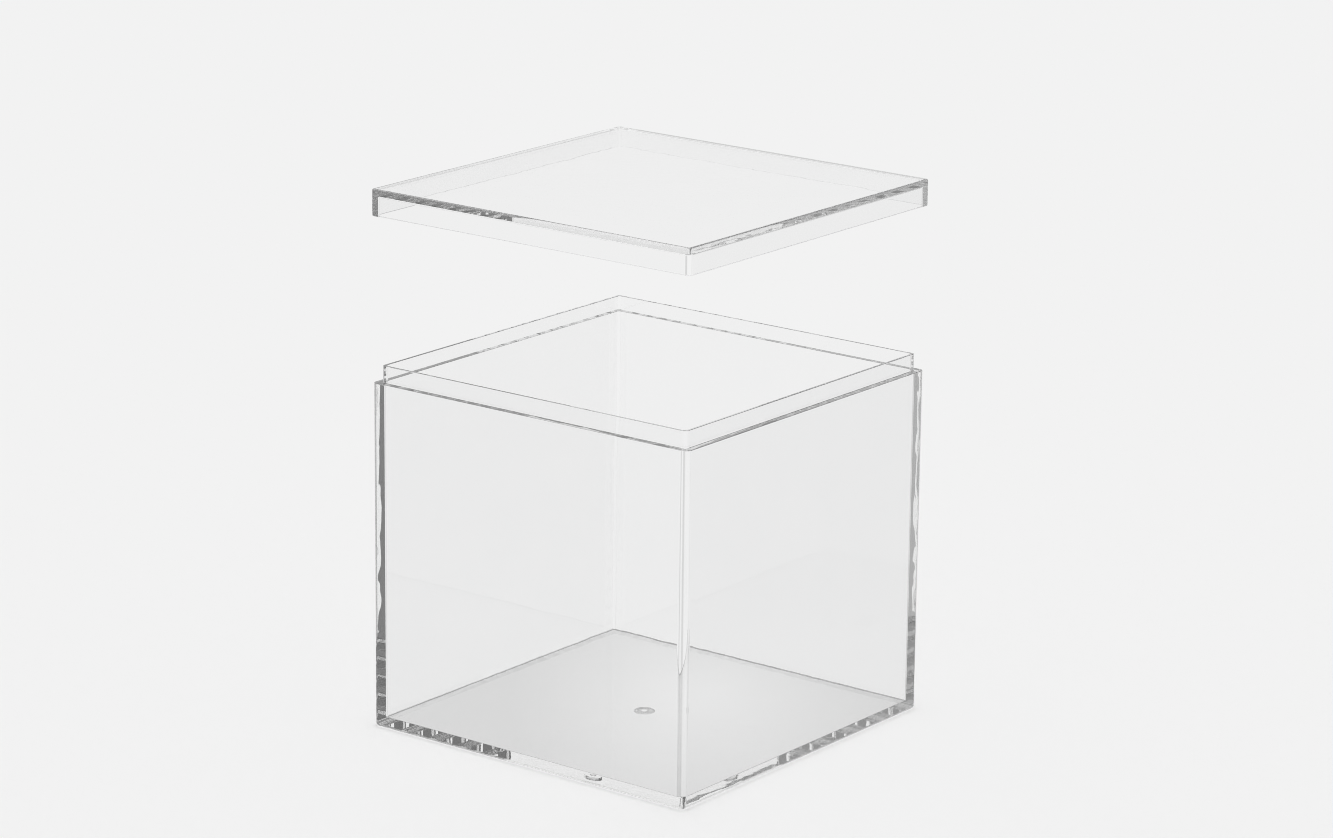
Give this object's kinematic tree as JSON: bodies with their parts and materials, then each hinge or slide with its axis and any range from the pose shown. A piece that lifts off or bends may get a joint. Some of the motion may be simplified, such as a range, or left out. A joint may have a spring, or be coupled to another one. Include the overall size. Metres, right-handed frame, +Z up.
{
  "type": "clear display box with lift-off lid",
  "caption": "Clear square display box with a thin stepped rim and a shallow lid that lifts straight off; the lid is shown held above the box.",
  "frame": {"origin": "centre of the box's underside, on the surface that it stands on", "axes": "+Z up, the way the lid lifts; X and Y run along the square's sides"},
  "size_m": [0.103, 0.103, 0.1455],
  "materials": {
    "box_clear_plastic": "clear, colourless, polished as moulded",
    "lid_clear_plastic": "clear, colourless, polished as moulded"
  },
  "bodies": {
    "box": {"box_body": "box_clear_plastic"},
    "lid": {"lid": "lid_clear_plastic"}
  },
  "joints": [
    {"name": "lid_lift", "type": "slide", "parent": "box", "child": "lid", "axis": [0, 0, 1], "range_m": [-0.044, 0.056]}
  ]
}
